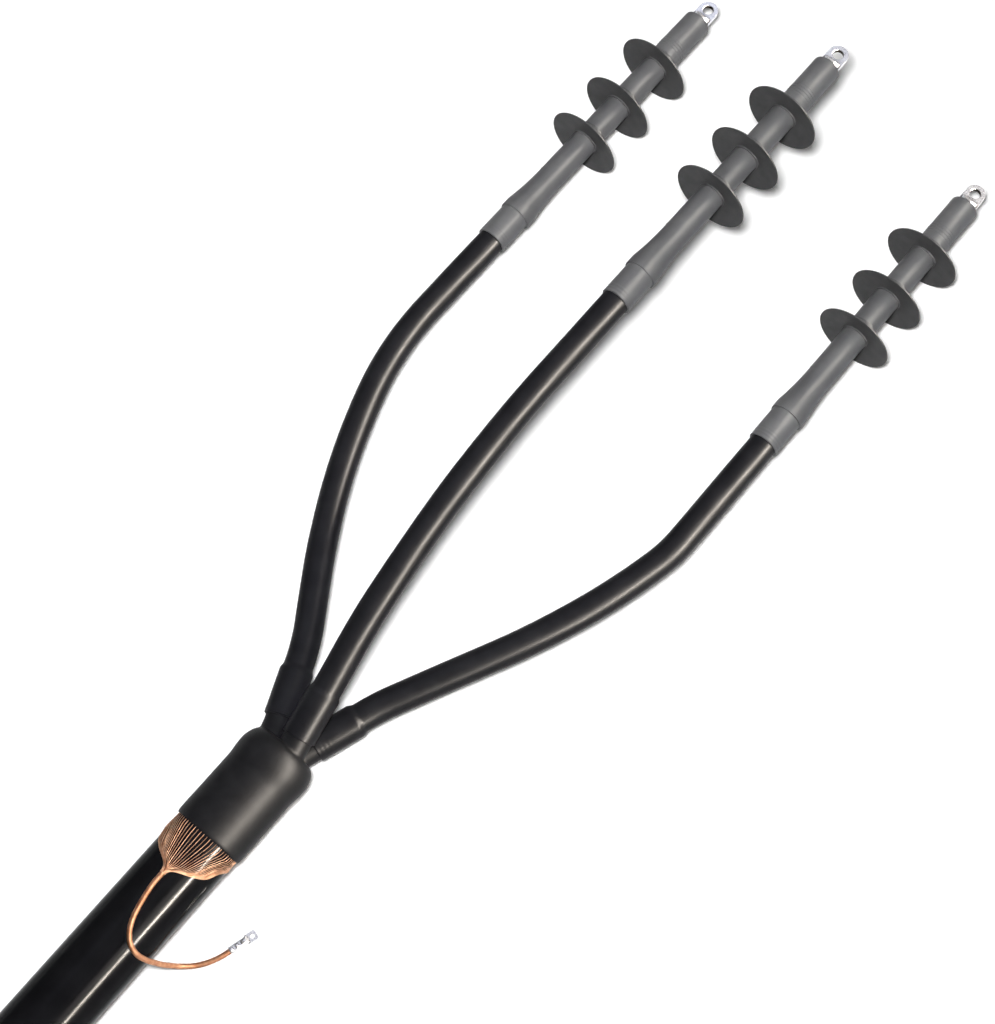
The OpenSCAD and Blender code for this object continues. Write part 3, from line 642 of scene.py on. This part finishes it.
# %% Leg routes
SPLAY_BEND_R, SLOW_BEND_R = 260, 850
BULGE_LEN, NECK_LEN, NECK_TAIL, TUBE_END = 48, 14, 3, 791
TUBE_START = {"left": 147, "middle": 141, "right": 148}


def leg_route(phase, step=3.0):
    """Points of a leg's middle line from the lower end of its tube to the upper one."""
    finger, splay, ease_to, return_r = LEGS[phase]
    core, off, distance = leg_frame(phase)
    root = finger_root(phase)
    at = root + heading(finger) * (TUBE_START[phase] - root.y) / math.cos(math.radians(finger))
    reach = BULGE_LEN + NECK_LEN + NECK_TAIL
    before = at + heading(finger) * reach + bend_step(SPLAY_BEND_R, finger, splay)
    back = bend_step(SLOW_BEND_R, splay, ease_to) + bend_step(return_r, ease_to, 0)
    straight = (distance - before.x - back.x) / math.sin(math.radians(splay))
    flat = [at]

    def go_straight(length, h):
        start = flat[-1]
        parts = max(1, round(length / step))
        flat.extend(start + heading(h) * length * (n + 1) / parts for n in range(parts))

    def go_round(r, h0, h1):
        start = flat[-1]
        parts = max(2, round(abs(math.radians(h1 - h0)) * r / step))
        flat.extend(start + bend_step(r, h0, h0 + (h1 - h0) * (n + 1) / parts) for n in range(parts))

    go_straight(reach, finger)
    go_round(SPLAY_BEND_R, finger, splay)
    go_straight(straight, splay)
    go_round(SLOW_BEND_R, splay, ease_to)
    go_round(return_r, ease_to, 0)
    go_straight(TUBE_END - flat[-1].y, 0)
    return [Vector((core.x + off.x * p.x, p.y, core.y + off.y * p.x)) for p in flat]


print("leg routes", [round(route_length(leg_route(phase))) for phase in PHASES], "mm")

# %% [markdown]
# ## Legs
# A black tube is shrunk over each core. Its wide lower end grips the boot's finger, and a neck leads to the
# long run. A sweep along the route gives true bends, and the radius changes along it for the wide end, the
# neck and the folds.

# %% Legs
TUBE_R, BULGE_R, TUBE_WALL = 16.85, 19.25, 2.1
NECK_LATE, NECK_STEEPER, TUBE_EDGE, TUBE_FOLD_MM, TUBE_SLIMMER, TUBE_POINTS = 4, 6, 0.9, 5.2, 0.12, 64
TUBE_FOLD = {"left": 0.02, "middle": 0.04, "right": 0.045}
LEG_OVAL, LEG_OVAL_TURN, LEG_LOBE, LEG_LOBE_TURN = 0.12, 37, 0.1, 23


def fine_start(route, length, step):
    """Cuts the first part of a route into finer steps, where the ripples are."""
    fine, gone = [], 0.0
    for a, b in zip(route, route[1:]):
        parts = max(1, math.ceil((b - a).length / step)) if gone < length else 1
        fine.extend(a.lerp(b, n / parts) for n in range(parts))
        gone += (b - a).length
    return fine + [route[-1]]


for number, phase in enumerate(PHASES):
    route = fine_start(leg_route(phase), BULGE_LEN + NECK_LEN, step=0.8)
    gone = [0.0]
    for a, b in zip(route, route[1:]):
        gone.append(gone[-1] + (b - a).length)

    def tube_radius(i, angle, gone=gone, depth=TUBE_FOLD[phase], number=number):
        s = gone[i]
        r = BULGE_R + (TUBE_R - BULGE_R) * ease((s - BULGE_LEN - NECK_LATE) / (NECK_LEN - NECK_STEEPER))
        r -= TUBE_EDGE * (1 - min(s / TUBE_EDGE, 1)) ** 2
        r += depth * math.sin(2 * math.pi * s / TUBE_FOLD_MM + 0.6 * math.sin(angle)) * window(s, 3, 20, soft=6)
        oval = LEG_OVAL * math.sin(2 * angle + s / LEG_OVAL_TURN + number)
        r += oval + LEG_LOBE * math.sin(3 * angle - s / LEG_LOBE_TURN)
        return r - TUBE_SLIMMER

    rings = sweep(route, tube_radius, TUBE_POINTS)
    inner = sweep(route[:12], lambda i, a: BULGE_R - TUBE_WALL, TUBE_POINTS)
    last = sweep(route[-2:], lambda i, a: TUBE_R - TUBE_WALL, TUBE_POINTS)
    piece = mesh_from_rings(phase + "_leg_tube", inner[::-1] + rings + last[::-1])
    dress(piece, phase + "_core_tube", tube_black)
print("legs", len(PHASES))

# %% [markdown]
# ## Breakout boot
# The boot is one moulding: a barrel, a wider shoulder, a rounded cap and three curved fingers. The barrel,
# shoulder and cap are one revolved shell, and each finger is a sweep along its bend. They only overlap here,
# and the next step makes one skin of them.

# %% Breakout boot
BARREL_LEN, SHOULDER_LEN, CAP_LEN, CAP_ROUND = 84, 26, 16, 13
# The cap starts to slope a little before the end of the shoulder
CAP_EARLY = 8
BOOT_IN_R, BOOT_R, SHOULDER_R, FINGER_R = 40.88, 43.28, 44.98, 16.85
RIM_DEPTH, BEND_PARTS, RUN_PARTS = 30, 12, 10
shoulder_end = BARREL_LEN + SHOULDER_LEN
shell = [(BOOT_IN_R, RIM_DEPTH), (BOOT_IN_R, 0), (BOOT_R - 0.8, 0), (BOOT_R, 3)]
shell += [
    (BOOT_R + (SHOULDER_R - BOOT_R) * ease((y - BARREL_LEN + 4) / 20), y)
    for y in range(BARREL_LEN - 4, BARREL_LEN + 18, 2)]
shell += [
    (SHOULDER_R - CAP_ROUND * (1 - math.cos(math.radians(a))),
     shoulder_end - CAP_EARLY + (CAP_LEN + CAP_EARLY) * math.sin(math.radians(a)))
    for a in range(0, 91, 6)]
shell += [(0.01, shoulder_end + CAP_LEN), (0.01, RIM_DEPTH)]
boot = revolve("boot_moulding", shell, 0, 0, count=160)
for phase in PHASES:
    core, off, _ = leg_frame(phase)
    root, h = finger_root(phase), LEGS[phase][0]
    reach = (TUBE_START[phase] - root.y) / math.cos(math.radians(h)) + BULGE_LEN - 2
    # The first quarter of the bend would lie deep in the shell, so it is left out
    line = [
        Vector((0, BEND_START)) + bend_step(FINGER_BEND_R, 0, h * n / BEND_PARTS)
        for n in range(BEND_PARTS // 4, BEND_PARTS)]
    line += [root + heading(h) * reach * n / RUN_PARTS for n in range(RUN_PARTS + 1)]
    line = [Vector((core.x + off.x * p.x, p.y, core.y + off.y * p.x)) for p in line]
    finger = mesh_from_rings("finger", sweep(line, lambda i, a: FINGER_R, 64), closed_ends=True)
    joined = bmesh.new()
    joined.from_mesh(boot.data)
    joined.from_mesh(finger.data)
    joined.to_mesh(boot.data)
    joined.free()
    bpy.data.objects.remove(finger)
print("boot", len(boot.data.polygons), "faces before the skin")

# %% [markdown]
# ## Boot skin
# A union of the solids would leave a hard seam round each finger, where a mould has a soft corner. A voxel
# remesh of the overlapping solids welds them into one skin instead, and a light smoothing rounds the corners.

# %% Boot skin
BOOT_VOXEL_MM = 1.2
for kind, settings in (
    ("REMESH", {"mode": "VOXEL", "voxel_size": BOOT_VOXEL_MM * MM, "use_smooth_shade": True}),
    ("CORRECTIVE_SMOOTH", {"iterations": 6, "factor": 0.5, "use_only_smooth": True}),
):
    step = boot.modifiers.new(kind.lower(), kind)
    for key, value in settings.items():
        setattr(step, key, value)
moulded = bpy.data.meshes.new_from_object(boot.evaluated_get(bpy.context.evaluated_depsgraph_get()))
boot.modifiers.clear()
boot.data = moulded
moulded.shade_smooth()
moulded.materials.clear()
dress(boot, "breakout_boot", boot_black)
print("boot", len(moulded.polygons), "faces")

# %% [markdown]
# ## Wire routes
# The cable's copper screen is 61 thin wires. They lie under the sheath, fold back over its cut end inside the
# boot, come out at the rim and are drawn together on top of the cable. Each wire's place in the gathered
# bundle is a point of a hexagon, and the fan between is bounded by a widest angle that shrinks along the
# cable.

# %% Wire routes
CABLE_END, SHEATH_IN_BOOT, SHEATH_R, SHEATH_WALL = -290, 58, 40, 5
WIRE_R, WIRE_GAP, WIRE_PITCH, BUNDLE_ROWS = 0.3, 0.08, 0.8, 4
GATHER_Y, GATHER_X, GATHER_FROM, GATHER_OVER = -57, -1, 40, 17
FOLD_PARTS, FAN_PARTS, DRAWN_IN, STACK_STEP = 8, 36, 0.55, 0.5
WIRE_IN_R = SHEATH_R - SHEATH_WALL - WIRE_GAP - WIRE_R
WIRE_OUT_R = SHEATH_R + WIRE_GAP + WIRE_R
FOLD_R = (WIRE_OUT_R - WIRE_IN_R) / 2
# Widest angle from the top that wires reach, at distances below the rim
FAN_SPREAD = [(0, 600), (8, 170), (14, 100), (20, 73), (33, 57), (42, 31), (49, 16), (57, 5)]
spread_line = smooth_route([(down, spread, 0) for down, spread in FAN_SPREAD], step_count=8)
bundle = [
    (col * math.sqrt(3) / 2 * WIRE_PITCH, (row - (2 * BUNDLE_ROWS - abs(col)) / 2) * WIRE_PITCH)
    for col in range(-BUNDLE_ROWS, BUNDLE_ROWS + 1) for row in range(2 * BUNDLE_ROWS - abs(col) + 1)]


def around(r, degrees, y):
    """A point at a radius round the cable's axis, with its angle from the top."""
    return Vector((r * math.sin(math.radians(degrees)), y, r * math.cos(math.radians(degrees))))


def fan_spread(down):
    """The widest angle at a distance below the rim."""
    for p, q in zip(spread_line, spread_line[1:]):
        if down <= q.x:
            return p.y + (q.y - p.y) * (down - p.x) / (q.x - p.x)
    return spread_line[-1].y


def wire_route(i):
    """From the sawn end, under the sheath, round the fold and over the fan to the gathered bundle."""
    angle = (i + 0.5) * 360 / len(bundle) - 180
    slot = Vector((GATHER_X, WIRE_OUT_R + BUNDLE_ROWS * WIRE_PITCH)) + Vector(bundle[i])
    points = [around(WIRE_IN_R, angle, CABLE_END)]
    for n in range(FOLD_PARTS + 1):
        t = math.pi * n / FOLD_PARTS
        fold_y = SHEATH_IN_BOOT + WIRE_GAP + WIRE_R + FOLD_R * math.sin(t)
        points.append(around(WIRE_IN_R + FOLD_R * (1 - math.cos(t)), angle, fold_y))
    # Wires from the underside crowd together at the sides, and there they lie three deep
    stack = STACK_STEP * (i % 3) * ease((abs(angle) - 50) / 40)
    for n in range(FAN_PARTS + 1):
        down = -GATHER_Y * n / FAN_PARTS
        spread = fan_spread(down)
        drawn_in = angle * (1 - DRAWN_IN * ease(-down / GATHER_Y))
        lying = around(WIRE_OUT_R + stack * ease(down / 20), spread * math.tanh(drawn_in / spread), -down)
        gathered = Vector((slot.x, -down, slot.y))
        points.append(lying.lerp(gathered, ease((down - GATHER_FROM) / GATHER_OVER)))
    return points


print("wire routes", len(bundle), "with", len(wire_route(0)), "points each")

# %% [markdown]
# ## Screen wires
# A striped sheet would do from far off, but the black sheath shows between the wires, so each wire is a thin
# sweep along its own route. All of them are joined into one mesh, which stands for the CAD's wires.

# %% Screen wires
# Drawn a tenth thicker than the CAD's wires, because thinner ones vanish at this distance
WIRE_DRAWN_R, WIRE_POINTS = 0.33, 8
all_wires = bmesh.new()
for i in range(len(bundle)):
    rings = sweep(wire_route(i), lambda n, a: WIRE_DRAWN_R, WIRE_POINTS, around(1, 0, 0))
    wire = mesh_from_rings("wire", rings, closed_ends=True)
    all_wires.from_mesh(wire.data)
    bpy.data.objects.remove(wire)
wires_mesh = bpy.data.meshes.new("screen_wire_fan")
all_wires.to_mesh(wires_mesh)
all_wires.free()
wires_mesh.shade_smooth()
wires = bpy.data.objects.new("screen_wire_fan", wires_mesh)
bpy.context.scene.collection.objects.link(wires)
# The wires take the paler copper, a painted highlight
dress(wires, "screen_wires", copper_painted_highlight)
print("wires", len(bundle), "faces", len(wires_mesh.polygons))

# %% [markdown]
# ## Cable
# The cable's sheath is a smooth extruded tube. At its lower end it is sawn square, so the layers inside show
# there. The CAD tube has facets that a narrow highlight would show, so the sheath is revolved again with a
# finer ring.

# %% Cable
sheath_line = rounded([
    (SHEATH_R - SHEATH_WALL, 0), (SHEATH_R - SHEATH_WALL, CABLE_END), (SHEATH_R, CABLE_END),
    (SHEATH_R, SHEATH_IN_BOOT), (SHEATH_R - SHEATH_WALL, SHEATH_IN_BOOT), (SHEATH_R - SHEATH_WALL, 1)],
    radius=0.4)
sheath = revolve("cable_outer_sheath", dense(sheath_line, step=12), 0, 0, count=160)
dress(sheath, "cable_sheath", sheath_black)
print("sheath", len(sheath.data.polygons), "faces")

# %% [markdown]
# ## Lugs
# Each lug is a pressed copper tube with a drilled palm, tinned all over. New meshes could have these shapes,
# but the CAD solids are exact already, so they are kept. A weld joins the faces that the CAD export keeps
# apart, and a small bevel gives the edges the light line that a pressed and tumbled lug has.

# %% Lugs
LUG_EDGE_MM = {"left_lug": 0.4, "middle_lug": 0.4, "right_lug": 0.4, "earth_lug": 0.25}
lugs = [nodes[name] for name in LUG_EDGE_MM]
for lug, width in zip(lugs, LUG_EDGE_MM.values()):
    weld = lug.modifiers.new("weld", "WELD")
    weld.merge_threshold = 1e-6
    edge = lug.modifiers.new("soft_edge", "BEVEL")
    edge.width = width * MM
    edge.segments = 2
    edge.limit_method = "ANGLE"
    edge.angle_limit = math.radians(28)
    edge.harden_normals = True
print("softened the edges of", len(lugs), "lugs")

# %% [markdown]
# ## Floor
# The object lies on white paper. Paper throws light back at what lies on it, which would turn the black tubes
# grey, so the floor is white to the camera and to reflections alone, and dark to the light that bounces. It
# keeps the shadow.

# %% Floor
floor_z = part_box("breakout_boot")[0][2]
FLOOR_HALF = 8
floor_mesh = bpy.data.meshes.new("floor")
floor_mesh.from_pydata(
    [(-FLOOR_HALF, -FLOOR_HALF, 0), (FLOOR_HALF, -FLOOR_HALF, 0), (FLOOR_HALF, FLOOR_HALF, 0),
     (-FLOOR_HALF, FLOOR_HALF, 0)], [], [(0, 1, 2, 3)])
floor = bpy.data.objects.new("floor", floor_mesh)
floor.location.z = floor_z
bpy.context.scene.collection.objects.link(floor)
white = bpy.data.materials.new("white_paper_floor")
white.use_nodes = True
tree = white.node_tree
tree.nodes.clear()
rays = add_node(tree, "ShaderNodeLightPath").outputs
seen = add_node(tree, "ShaderNodeMath", {
    0: rays["Is Camera Ray"], 1: rays["Is Glossy Ray"]}, operation="MAXIMUM").outputs[0]
seen = add_node(tree, "ShaderNodeMath", {
    0: seen, 1: rays["Is Transmission Ray"]}, operation="MAXIMUM").outputs[0]
# White as bounced light sees it, as the camera and reflections see it, and a faint glow for those two
FLOOR_BOUNCE, FLOOR_WHITE, FLOOR_GLOW = 0.08, 1.0, 0.08
shade = add_node(tree, "ShaderNodeMapRange", {
    "Value": seen, "To Min": FLOOR_BOUNCE, "To Max": FLOOR_WHITE}).outputs["Result"]
paper = add_node(tree, "ShaderNodeBsdfDiffuse", {"Color": shade})
glow = add_node(tree, "ShaderNodeMath", {0: seen, 1: FLOOR_GLOW}, operation="MULTIPLY").outputs[0]
glow = add_node(tree, "ShaderNodeEmission", {"Strength": glow})
lit = add_node(tree, "ShaderNodeAddShader", {0: paper.outputs[0], 1: glow.outputs[0]})
add_node(tree, "ShaderNodeOutputMaterial", {"Surface": lit.outputs[0]})
floor_mesh.materials.append(white)
print("floor at", round(floor_z, 4), "m")

# %% [markdown]
# ## Studio
# The room gives a little light from everywhere, so that no shadow is quite black. Lamps hang at a place and
# look at a target, and some of them leave pieces out: Blender's light linking does what a photographer does
# with black flags.

# %% Studio
STUDIO_FILL = 0.08
world = bpy.data.worlds.new("studio")
bpy.context.scene.world = world
world.use_nodes = True
tree = world.node_tree
tree.nodes.clear()
sky = add_node(tree, "ShaderNodeBackground", {"Color": (1, 1, 1, 1), "Strength": STUDIO_FILL})
add_node(tree, "ShaderNodeOutputWorld", {"Surface": sky.outputs[0]})


def aim(name, data, place, target):
    """Hangs a lamp at a place, turned to a target."""
    lamp = bpy.data.objects.new(name, data)
    bpy.context.scene.collection.objects.link(lamp)
    lamp.location = place
    lamp.rotation_euler = (Vector(target) - Vector(place)).to_track_quat("-Z", "Y").to_euler()
    return lamp


def leave_out(lamp, pieces):
    """Keeps a lamp's light off some pieces."""
    group = bpy.data.collections.new(lamp.name + "_leaves_out")
    for piece in pieces:
        group.objects.link(piece)
    for entry in group.collection_objects:
        entry.light_linking.link_state = "EXCLUDE"
    lamp.light_linking.receiver_collection = group


print("studio fill", STUDIO_FILL)

# %% [markdown]
# ## Key and fill
# A studio would hang a flash beside the lens. A sun's rays are parallel, and at the ends of this long object
# they would throw the shadow too far, so the key is a lamp beside the camera with an even falloff, a little
# to the upper left: each piece has its shadow close by at the lower right. The fill from the right has no
# shadow and leaves the floor out. Neither shows in reflections.

# %% Key and fill
MIDDLE = Vector((-0.03, 0.5, 0.0))
LAMP_FAR = 3
KEY_FROM_CAMERA = Vector((-0.145, 0.048, 0.046))
FILL_DIRECTION = Vector((0.72, 0.25, 0.65))
key_data = bpy.data.lights.new("key_lamp", "POINT")
key_data.energy = 44
key_data.shadow_soft_size = 0.13
key_data.use_nodes = True
tree = key_data.node_tree
tree.nodes.clear()
even = add_node(tree, "ShaderNodeLightFalloff", {"Strength": 1}).outputs["Constant"]
glow = add_node(tree, "ShaderNodeEmission", {"Strength": even})
add_node(tree, "ShaderNodeOutputLight", {"Surface": glow.outputs[0]})
key = aim("key_lamp", key_data, camera.location + KEY_FROM_CAMERA, MIDDLE)
key.visible_glossy = False
fill_data = bpy.data.lights.new("side_fill", "SUN")
fill_data.energy = 1.2
fill_data.use_shadow = False
fill = aim("side_fill", fill_data, MIDDLE + FILL_DIRECTION * LAMP_FAR, MIDDLE)
fill.visible_glossy = False
leave_out(fill, [floor])
print("key at", [round(c, 3) for c in key.location])

# %% [markdown]
# ## Reflected panels
# Long soft boxes draw the highlights. They serve reflections alone, so they can be strong without more light
# on the colours. A strip draws the light line on black tubes, a warm panel lies round it and on the copper, a
# soft panel is for the grey tubes and a cool one for the tin. Each leaves out the pieces that it would make
# too bright.

# %% Reflected panels
blacks = [boot, sheath] + [bpy.data.objects[phase + "_leg_tube"] for phase in PHASES]
greys = [
    bpy.data.objects[phase + name]
    for phase in PHASES for name in ("_base_tube", "_body_flare", "_sealing_sleeve")]
coppers = [wires, lead]
# Name, direction from the middle, length and width in metres, watts, colour, and the pieces left out
PANELS = [
    ("warm_strip", (0.80, 0.28, 0.53), (4.2, 0.25), 2400, "#fff5e8", coppers + greys),
    ("warm_panel", (0.66, 0.28, 0.70), (4.2, 1.4), 240, "#fff7ee", greys + lugs),
    ("soft_panel", (0.53, 0.28, 0.80), (4.2, 1.0), 480, "#fff9ee", blacks + lugs + coppers),
    ("cool_panel", (-0.37, 0.25, 0.89), (3, 3), 36, "#e8ecff", []),
]
for name, direction, size, watts, colour, left_out in PANELS:
    data = bpy.data.lights.new(name, "AREA")
    data.shape = "RECTANGLE"
    data.size, data.size_y = size
    data.energy = watts
    data.color = linear(colour)[:3]
    lamp = aim(name, data, MIDDLE + Vector(direction) * LAMP_FAR, MIDDLE)
    lamp.visible_diffuse = False
    if left_out:
        leave_out(lamp, left_out)
print("panels", len(PANELS))
